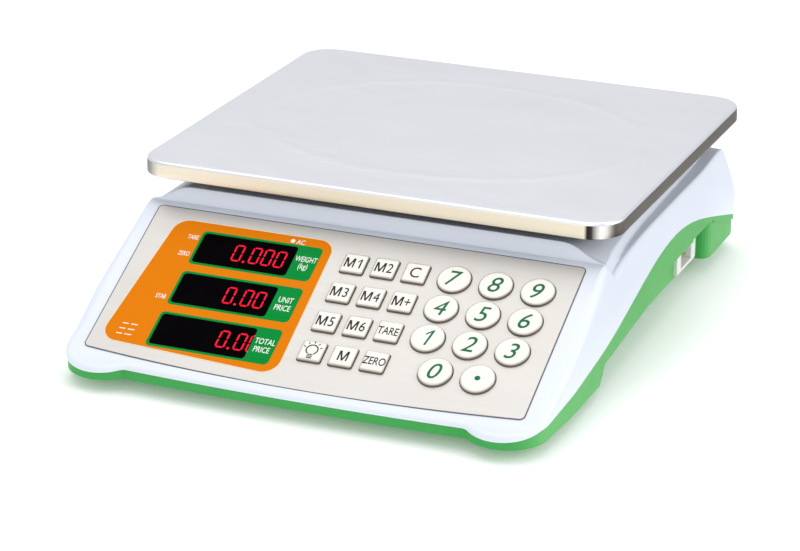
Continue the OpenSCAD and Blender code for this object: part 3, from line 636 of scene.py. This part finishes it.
def casing_sheet(t):
    """Top and side surface of the top casing, moved in by t: rows * cols grid and the rows below its rim."""
    right = np.concatenate([
        np.linspace(0, 116, 11), np.linspace(HOLLOW_X, 123, 6), np.linspace(126, 154, 9),
        np.linspace(155, 161.5, 14), HALF_W - 6.5 * np.linspace(0.97, 0, 16) ** 1.8,
    ]) * (HALF_W - t) / HALF_W
    x = np.concatenate([-right[:0:-1], right])
    front = np.linspace(0, 1, 18) ** 2.2
    rear = 1 - (1 - np.linspace(0, 1, 26)) ** 2.2
    middle = np.concatenate([
        np.linspace(-150, -92, 7), np.linspace(-88, -80, 13), np.linspace(-79.8, -76, 20),
        np.linspace(-75.5, -58, 19), np.linspace(-54, 150, 20),
    ])
    first, last = middle[0], middle[-1]
    y_front, y_rear = front_edge(x, t), rear_edge(x, t)
    rows = [y_front + g * (first - y_front) for g in front[:-1]]
    rows += [np.full_like(x, y) for y in middle]
    rows += [last + g * (y_rear - last) for g in rear[1:]]
    y = np.array(rows)
    x = np.tile(x, (len(y), 1))
    z = top_height(x, y, t)
    d = edge_distance(x, y, t)
    low = parting_z(y)
    # edge radius: 2.5 mm at the front, 8 mm beside the panel, 5.5 mm from the deck backwards
    r = 2.5 + 5.5 * smooth_step(y, -212, -185) - 2.5 * smooth_step(y, -100, -60)
    r = np.minimum(np.maximum(r - t / 2, 1), 0.75 * (z - low))
    z = z - np.where(d < r, r - np.sqrt(np.maximum(r ** 2 - (r - d) ** 2, 0)), 0)
    return x, y, z, low


def boundary(a):
    """Outer loop of a grid, anticlockwise from its first corner."""
    return np.concatenate([a[0, :], a[1:, -1], a[-1, -2::-1], a[-2:0:-1, 0]])


def make_top_casing():
    """Closed shell: outer sheet, inner sheet, and side rows that meet in a rim on the parting line."""
    sheets, walls = [], []
    for t in (0.0, WALL):
        x, y, z, low = casing_sheet(t)
        sheets.append(np.stack([taper(lean_in(x, z), y), y, z], axis=-1))
        bx, by, bz, bl = (boundary(a) for a in (x, y, z, low))
        fall = [0.04, 0.12, 0.25, 0.42, 0.6, 0.8, 1.0]
        levels = [bz + (bl - bz) * f for f in fall]
        walls.append([np.stack([taper(lean_in(bx, level), by), by, level], -1) for level in levels])
    rows, cols = sheets[0].shape[:2]
    index = boundary(np.arange(rows * cols).reshape(rows, cols))
    n = len(index)
    verts, faces, rims = [], [], []
    for side, (sheet, wall) in enumerate(zip(sheets, walls)):
        first = len(verts)
        verts += list(sheet.reshape(-1, 3))
        faces += grid_faces(rows, cols, flip=bool(side), first=first)
        above = first + index
        for ring in wall:
            here = len(verts) + np.arange(n)
            verts += list(ring)
            for j in range(n):
                k = (j + 1) % n
                quad = (above[j], here[j], here[k], above[k])
                faces.append(tuple(reversed(quad)) if side else quad)
            above = here
        rims.append(above)
    for j in range(n):
        k = (j + 1) % n
        faces.append((rims[0][j], rims[1][j], rims[1][k], rims[0][k]))
    piece = fix_normals(add_mesh("casing_top_shell", np.array(verts) * MM, faces, WHITE, CASING_SHARP))
    plate = prism(plate_outline(PLATE_GROOVE), -PLATE_T - 0.05, 6)
    cut(piece, from_panel(plate[0]), plate[1])
    for u, v, w, h in (DISPLAY_OPENING, KEY_OPENING):
        hole = prism(rounded_outline(w, h, 3, 4, u + w / 2, v + h / 2), -9, 1)
        cut(piece, from_panel(hole[0]), hole[1])
    hub = prism(rounded_outline(*HUB_SIZE, 8, 6, 0, HUB_Y), DECK_Z - 8, DECK_Z + 8)
    cut(piece, np.array(hub[0]) * MM, hub[1])
    piece.data.materials.clear()
    piece.data.materials.append(WHITE)
    piece.data.shade_smooth()
    piece.data.set_sharp_from_angle(angle=math.radians(CASING_SHARP))
    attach(piece, "casing")
    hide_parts("top_casing")


def plate_outline(grow=0.0):
    """Steel plate: straight sides and top, bowed lower edge, small corner radii."""
    w, r = PLATE_HALF, CORNER_R
    bow_r = (w * w + PLATE_BOW ** 2) / (2 * PLATE_BOW)
    bow_y = bow_r - PLATE_BOW
    corner_y = bow_y - math.sqrt((bow_r - r) ** 2 - (w - r) ** 2)
    lean = math.degrees(math.asin((w - r) / (bow_r - r)))
    r += grow
    x, top = w - CORNER_R, PLATE_LENGTH - CORNER_R
    return [
        *arc(0, bow_y, bow_r + grow, -90 - lean, -90 + lean, 30),
        *arc(x, corner_y, r, -90 + lean, 0, 6)[1:], *arc(x, top, r, 0, 90, 6),
        *arc(-x, top, r, 90, 180, 6), *arc(-x, corner_y, r, 180, 270 - lean, 6)[:-1],
    ]


def make_groove_shade():
    """Painted shade: a dark sheet lying in the groove between the steel plate and the casing."""
    inner, outer = plate_outline(-0.05), plate_outline(PLATE_GROOVE - 0.02)
    low, top = -0.6, -0.02
    n = len(inner)
    section = ((inner, low), (outer, low), (outer, top), (inner, top))
    verts = [(x, y, w) for ring, w in section for x, y in ring]
    last = 3 * n
    faces = grid_faces(4, n, close=True)
    faces += [(j, (j + 1) % n, last + (j + 1) % n, last + j) for j in range(n)]
    piece = fix_normals(panel_piece("groove_shade_sheet", [(verts, faces)], GROOVE_PAINTED_SHADE))


make_top_casing()
make_groove_shade()


# ---------------------------------------------------------------- keys
KEY_RISE = 2.0
LIP_W = -PLATE_T - 0.1
ROUND_R, SQUARE_W, SQUARE_R = 11.4, 16.4, 1.5
SQUARE_U, SQUARE_PITCH, ROUND_U, ROUND_PITCH, TOP_ROW_V, ROW_PITCH = 1.0, 21.6, 71.0, 28.6, 100.4, 25.5
SQUARE_ROWS = [["key_m1", "key_m2", "key_clear"], ["key_m3", "key_m4", "key_m_plus"],
               ["key_m5", "key_m6", "key_tare"], ["key_light", "key_m", "key_zero"]]
ROUND_ROWS = [["key_7", "key_8", "key_9"], ["key_4", "key_5", "key_6"], ["key_1", "key_2", "key_3"],
              ["key_0", "key_point"]]
LEGENDS = {"key_clear": "C", "key_m_plus": "M+", "key_tare": "TARE", "key_zero": "ZERO", "key_m": "M"}
M_HEIGHT, M_STROKE = 7.9, 1.05
THIN = 0.0
SLANT = 0.2
INK_T = 0.04
LEGEND_W = KEY_RISE + 0.1
CAP_PROFILE = [(0.0, LIP_W - 1), (0.0, KEY_RISE - 1.0), (0.12, KEY_RISE - 0.6), (0.4, KEY_RISE - 0.26),
               (0.8, KEY_RISE - 0.07), (1.3, KEY_RISE), (2.6, KEY_RISE + 0.04)]


def cap(outline_at, centre):
    """Pressed cap: skirt, rolled shoulder and a nearly flat top. outline_at(inset) gives its outline."""
    verts, n = [], 0
    for inset, w in CAP_PROFILE:
        ring = outline_at(inset)
        n = len(ring)
        verts += [(x + centre[0], y + centre[1], w) for x, y in ring]
    verts.append((centre[0], centre[1], KEY_RISE + 0.06))
    rows = len(CAP_PROFILE)
    faces = grid_faces(rows, n, close=True)
    last = (rows - 1) * n
    faces += [(last + j, last + (j + 1) % n, rows * n) for j in range(n)]
    faces.append(tuple(reversed(range(n))))
    return verts, faces


def round_cap(centre):
    """Cap of a number key."""
    return cap(lambda inset: arc(0, 0, ROUND_R - inset, 0, 360 * 63 / 64, 63), centre)


def square_cap(centre):
    """Cap of a function key."""
    def outline_at(inset):
        side = SQUARE_W - 2 * inset
        return rounded_outline(side, side, max(SQUARE_R - inset * 0.4, 0.4), 5)
    return cap(outline_at, centre)


def lettering(text, size, centre, w, shear=0.0, squeeze=1.0, bold=0.0):
    """Vertices and faces of thin raised letters centred on a point of the panel."""
    curve = bpy.data.curves.new("letters", "FONT")
    curve.body = text
    curve.size = size
    curve.shear = shear
    curve.offset = bold
    curve.align_x, curve.align_y = "LEFT", "BOTTOM_BASELINE"
    curve.extrude = 0.02
    curve.resolution_u = 4
    obj = bpy.data.objects.new("letters", curve)
    bpy.context.scene.collection.objects.link(obj)
    mesh = bpy.data.meshes.new_from_object(obj.evaluated_get(bpy.context.evaluated_depsgraph_get()))
    pts = np.array([v.co[:] for v in mesh.vertices])
    faces = [tuple(p.vertices) for p in mesh.polygons]
    bpy.data.objects.remove(obj)
    middle = (pts.min(axis=0) + pts.max(axis=0)) / 2
    pts = (pts - middle) * (squeeze, 1, 1)
    return [(x + centre[0], y + centre[1], z + w) for x, y, z in pts], faces


def glyph(shape, height, thick, centre, w, shear=0.0):
    """Capital M or figure 1 as one thin outline, centred on a point of the panel."""
    if shape == "M":
        wide, arm = height * 0.86, thick * 1.45
        pts = [(0, 0), (thick, 0), (thick, height - 2.4 * thick), (wide / 2 - thick / 2, 0),
               (wide / 2 + thick / 2, 0), (wide - thick, height - 2.4 * thick), (wide - thick, 0), (wide, 0),
               (wide, height), (wide - arm, height), (wide / 2, 1.8 * thick), (arm, height), (0, height)]
    else:
        wide = height * 0.34
        pts = [(wide - thick, 0), (wide, 0), (wide, height), (wide - 0.7 * thick, height),
               (0, height * 0.76), (0, height * 0.76 - thick * 1.2), (wide - thick, height * 0.84)]
    pts = [(x - wide / 2 + (y - height / 2) * shear, y - height / 2) for x, y in pts]
    return prism([(x + centre[0], y + centre[1]) for x, y in pts], w - INK_T, w)


def number_legend(name, centre, w):
    """Slanted figure or point of a round key."""
    if name == "key_point":
        return [prism(disc(centre, 1.9, 47), w - INK_T, w)]
    if name == "key_1":
        return [glyph("1", 12.8, 1.5, centre, w, SLANT)]
    bold = THIN if name == "key_4" else 0.05
    return [lettering(name[-1], 18.0, centre, w, SLANT, 0.98, bold)]


def function_legend(name, centre, w):
    """Word, letter or memory number of a square key."""
    text = LEGENDS.get(name, name[4:].upper())
    if text == "C":
        return [lettering(text, 12.4, centre, w, 0, 0.9, 0.03)]
    if not text.startswith("M"):
        return [lettering(text, 8.8, centre, w, 0, 0.68, 0.08)]
    number = text[1:]
    beside = 3.2 if number else 0.0
    parts = [glyph("M", M_HEIGHT, M_STROKE, (centre[0] - beside + 0.4, centre[1]), w)]
    mate = (centre[0] + 3.9, centre[1])
    if number == "1":
        parts.append(glyph("1", M_HEIGHT, M_STROKE, mate, w))
    elif number:
        parts.append(lettering(number, 11.2, mate, w, 0, 0.8, THIN if number == "4" else 0.03))
    return parts


def make_key(name, centre, is_round):
    """Steel cap and printed legend, both on the key's own body."""
    body = BODY_OF[name]
    solid = round_cap(centre) if is_round else square_cap(centre)
    piece = panel_piece(name + "_cap", [solid], KEY_STEEL, body, 50)
    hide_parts(name)
    if is_round:
        parts, ink = number_legend(name, centre, LEGEND_W), INK_GREEN
    elif name == "key_light":
        parts, ink = bulb_icon(centre, LEGEND_W), INK_GREY
    else:
        parts, ink = function_legend(name, centre, LEGEND_W), INK_GREY
    legend = panel_piece(name + "_legend", parts, ink, body)


def stroke(points, width, w):
    """A line of even width with square ends through a list of points, as one thin solid."""
    p = np.array(points, dtype=float)
    d = np.gradient(p, axis=0)
    d /= np.linalg.norm(d, axis=1)[:, None]
    side = np.stack([-d[:, 1], d[:, 0]], axis=1) * width / 2
    outline = [*(p - side), *(p + side)[::-1]]
    return prism(outline, w - INK_T, w)


def bulb_icon(centre, w):
    """Plain lamp sign: round bulb, base bars and short rays."""
    def moved(points):
        return [(x * 1.25 + centre[0], y * 1.25 + centre[1]) for x, y in points]
    parts = [stroke(moved(arc(0, 0.6, 3.1, -58, 238, 24)), 0.9, w)]
    parts += [stroke(moved([(-1.5, y), (1.5, y)]), 0.8, w) for y in (-2.6, -3.7, -4.8)]
    for a in (20, 55, 90, 125, 160):
        c, s = math.cos(math.radians(a)), math.sin(math.radians(a))
        parts.append(stroke(moved([(4.2 * c, 0.6 + 4.2 * s), (5.5 * c, 0.6 + 5.5 * s)]), 0.7, w))
    return parts


for row, names in enumerate(SQUARE_ROWS):
    for col, name in enumerate(names):
        make_key(name, (SQUARE_U + col * SQUARE_PITCH, TOP_ROW_V - row * ROW_PITCH), False)
for row, names in enumerate(ROUND_ROWS):
    shift = 0.5 if row == 3 else 0.0
    for col, name in enumerate(names):
        make_key(name, (ROUND_U + (col + shift) * ROUND_PITCH, TOP_ROW_V - row * ROW_PITCH), True)


# ---------------------------------------------------------------- printed label and display
WINDOW_U, WINDOW_V, WINDOW_PITCH = -75.75, 95.0, 36.2
WINDOW_W, WINDOW_H = 68.5, 26.0
FILM = 0.25
PRINT_T, FRAME_T, PANE_T, BLOCK_T, WORDS_W = 0.03, 0.04, 0.07, 0.14, 0.17
LABEL_R, LABEL_EDGE = 11.0, 0.55
SMALL_WORDS = [
    ("TARE", 5.4, (-117.2, 103.0), 0.62, 0.02), ("ZERO", 5.4, (-117.8, 88.1), 0.6, 0.02),
    ("STAB", 5.4, (-118.0, 49.5), 0.6, 0.02), ("AC", 5.6, (-42.0, 112.4), 0.8, 0.03),
]


def label_outline(grow=0.0):
    """Orange label: an upright right-hand side, a slanted left one and round corners."""
    r = LABEL_R
    corners = [(-18.3 - r, 116.9 - r, 0, 90), (-134.5 + r, 116.9 - r, 90, 175),
               (-144 + r, 4.5 + r + 3, 175, 272), (-16.8 - r, 3.6 + r - 1.5, 268, 360)]
    return [p for x, y, a0, a1 in corners for p in arc(x, y, r + grow, a0, a1, 10)]


def make_label():
    """Label film over a narrow cream edge."""
    edge = panel_piece("label_edge", [prism(label_outline(LABEL_EDGE), 0.0, 0.12)], CREAM)
    film = panel_piece("label_film", [prism(label_outline(), 0.0, FILM)], ORANGE)
    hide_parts("display_label")


def make_window(name, row, text, digits, shift):
    """One display row: green frame, dark film, green block with its words, and lit digits."""
    v = WINDOW_V - row * WINDOW_PITCH
    left, right = WINDOW_U - WINDOW_W / 2, WINDOW_U + WINDOW_W / 2
    border, frame_w = 1.9, 87.6
    frame_box = rounded_outline(frame_w, WINDOW_H + 2 * border, 3.4, 6, left - border + frame_w / 2, v)
    surround = panel_piece(name + "_frame", [prism(frame_box, FILM, FILM + FRAME_T)], FRAME_GREEN)
    dark = rounded_outline(WINDOW_W, WINDOW_H, 2.6, 6, WINDOW_U, v)
    pane = panel_piece(name + "_film", [prism(dark, FILM, FILM + PANE_T)], FILM_BLACK)
    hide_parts(name + "_window")
    block_end = left - border + frame_w
    block = rounded_outline(block_end - right, WINDOW_H - 4, 0.5, 2, (block_end + right) / 2, v)
    cover = panel_piece(name + "_block", [prism(block, FILM, FILM + BLOCK_T)], FRAME_GREEN)
    lines = text.split("\n")
    side_u = (right + block_end) / 2 + 0.2
    parts = []
    for line, rise in zip(lines, (3.4, -3.4)):
        squeeze = 0.6 if len(line) > 5 else 0.68
        parts.append(lettering(line, 6.6, (side_u, v + rise), FILM + WORDS_W, 0, squeeze, 0.03))
    words = panel_piece(name + "_words", parts, INK_WHITE)
    lit = panel_piece(name + "_numerals", seven_segments(digits, right - 5.3 + shift, v), SEGMENT_RED)
    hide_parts(name + "_digits")


DIGIT_H, DIGIT_W, SEGMENT_T, DIGIT_PITCH, POINT_ROOM = 14.4, 6.9, 1.15, 8.95, 3.6


def seven_segments(digits, right, v):
    """Lit zeros with a decimal point after the first; right is the end of the last one."""
    w, t, gap = DIGIT_W, SEGMENT_T, 0.3
    low, top = FILM + PANE_T, FILM + 0.11
    parts = []

    def bar(x0, y0, x1, y1):
        """Six-sided segment between two corners of a digit."""
        along = np.array([x1 - x0, y1 - y0], dtype=float)
        along /= np.linalg.norm(along)
        side = np.array([-along[1], along[0]]) * t / 2
        a = np.array([x0, y0]) + along * gap
        b = np.array([x1, y1]) - along * gap
        k = along * t / 2
        return prism([a, a + k - side, b - k - side, b, b - k + side, a + k + side], low, top)

    for place in range(digits):
        x1 = right - t / 2 - place * DIGIT_PITCH - (POINT_ROOM if place == digits - 1 else 0)
        x0 = x1 - w + t
        y0, y1 = v - DIGIT_H / 2 + t / 2, v + DIGIT_H / 2 - t / 2
        parts += [bar(x0, y0, x1, y0), bar(x0, y1, x1, y1)]
        parts += [bar(x, a, x, b) for x in (x0, x1) for a, b in ((y0, v), (v, y1))]
    return parts + [prism(disc((x1 + 3.35, y0), 0.95, 23), low, top)]


def make_small_marks():
    """Small words beside the windows, the power lamp and three short printed lines."""
    parts = [lettering(text, size, at, FILM + PRINT_T, 0, squeeze, bold)
             for text, size, at, squeeze, bold in SMALL_WORDS]
    parts.append(prism(disc((-47.9, 112.6), 1.6, 23), FILM, FILM + 0.05))
    for i in range(3):
        for u, w in ((-131.8, 4.4), (-125.4, 5.0)):
            line = rounded_outline(w, 0.7, 0.3, 2, u - 0.5 * i, 22.6 - 4.4 * i)
            parts.append(prism(line, FILM, FILM + PRINT_T))
    marks = panel_piece("label_marks", parts, INK_WHITE)


make_label()
make_window("weight", 0, "WEIGHT\n(kg)", 4, 0.0)
make_window("unit", 1, "UNIT\nPRICE", 3, 0.0)
make_window("total", 2, "TOTAL\nPRICE", 3, 10.2)
make_small_marks()


# ---------------------------------------------------------------- pan
pan_low, pan_high = box_mm("pan")
PAN_W, PAN_D = pan_high[0] - pan_low[0], pan_high[1] - pan_low[1]
PAN_Y, PAN_Z = (pan_high[1] + pan_low[1]) / 2, pan_high[2]
PAN_RIM = pan_high[2] - pan_low[2]
PAN_R = 22.0
ROLL_R = 2.2
PAN_SHEET = 1.0
BEAD, BEAD_HALF, BEAD_RISE = (138.0, 103.0), 9, 0.3
RING_STEPS = 24


def pan_ring(inset):
    """Rounded rectangle of the pan moved in by inset, always with the same number of points."""
    n = RING_STEPS
    x, y = PAN_W / 2, PAN_D / 2
    r = max(PAN_R - inset, 0.5)
    pts = []
    for cx, cy, a0 in ((1, 1, 0), (-1, 1, 90), (-1, -1, 180), (1, -1, 270)):
        corner = arc(cx * (x - inset - r), cy * (y - inset - r), r, a0, a0 + 90, n)
        if pts:
            pts += side_points(pts[-1], corner[0], n)
        pts += corner
    return np.array(pts + side_points(pts[-1], pts[0], n))


def side_points(a, b, n):
    """The points between a and b that divide the line into n."""
    return [(a[0] + (b[0] - a[0]) * k / n, a[1] + (b[1] - a[1]) * k / n) for k in range(1, n)]


def make_pan():
    """Pressed steel sheet: oval bead, rolled edge, rim and a turned-in lower lip."""
    sheet = PAN_SHEET
    rings = [(pan_ring(inset), z) for inset, z in (
        (sheet + 2.5, -PAN_RIM), (0.6, -PAN_RIM), (0.15, -PAN_RIM + 0.2), (0.0, -PAN_RIM + 0.7),
        (0.0, -PAN_RIM + 4), (0.15, -ROLL_R - 0.8),
    )]
    for a in np.radians(np.linspace(0, 90, 7)):
        rings.append((pan_ring(0.15 + ROLL_R * (1 - math.cos(a))), -ROLL_R * (1 - math.sin(a))))
    rings.append((pan_ring(6), 0.0))
    outer = pan_ring(6)
    angle = np.arctan2(outer[:, 1] / BEAD[1], outer[:, 0] / BEAD[0])
    unit = np.stack([np.cos(angle), np.sin(angle)], axis=1)
    oval = unit * BEAD
    for k in (0.35, 0.7):
        rings.append((outer * (1 - k) + (oval + unit * BEAD_HALF) * k, 0.0))
    for step in np.linspace(BEAD_HALF, -BEAD_HALF, 13):
        rise = BEAD_RISE * (0.5 + 0.5 * math.cos(math.pi * step / BEAD_HALF))
        rings.append((oval + unit * step, rise))
    rings += [(oval * k, 0.0) for k in (0.75, 0.5, 0.25)]
    under = [(pan_ring(inset), z) for inset, z in (
        (sheet + 12, -sheet), (sheet + ROLL_R, -sheet), (sheet, -ROLL_R), (sheet, -PAN_RIM + 1.0),
        (sheet + 2.5, -PAN_RIM + 1.0),
    )]
    order = [(oval * 0.25, -sheet)] + under + rings
    n = len(outer)
    verts = [(x, y + PAN_Y, z + PAN_Z) for ring, z in order for x, y in ring]
    faces = grid_faces(len(order), n, close=True)
    bottom, top = len(verts), len(verts) + 1
    verts += [(0, PAN_Y, PAN_Z - sheet), (0, PAN_Y, PAN_Z)]
    last = (len(order) - 1) * n
    faces += [((j + 1) % n, j, bottom) for j in range(n)]
    faces += [(last + j, last + (j + 1) % n, top) for j in range(n)]
    piece = fix_normals(add_mesh("pan_sheet", np.array(verts) * MM, faces, PAN_STEEL, 60))
    piece.data.materials.append(RIM_PAINTED_REFLECTIONS)
    piece.data.materials.append(UNDERSIDE_PAINTED_SHADE)
    for poly in piece.data.polygons:
        # Faces turned down take the near-black painted shade.
        if poly.normal.z < -0.6:
            poly.material_index = 2
        # Steep faces of the rim take the steel with painted reflections.
        elif poly.normal.z < 0.35:
            poly.material_index = 1
    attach(piece, "pan_plate")
    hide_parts("pan")


make_pan()
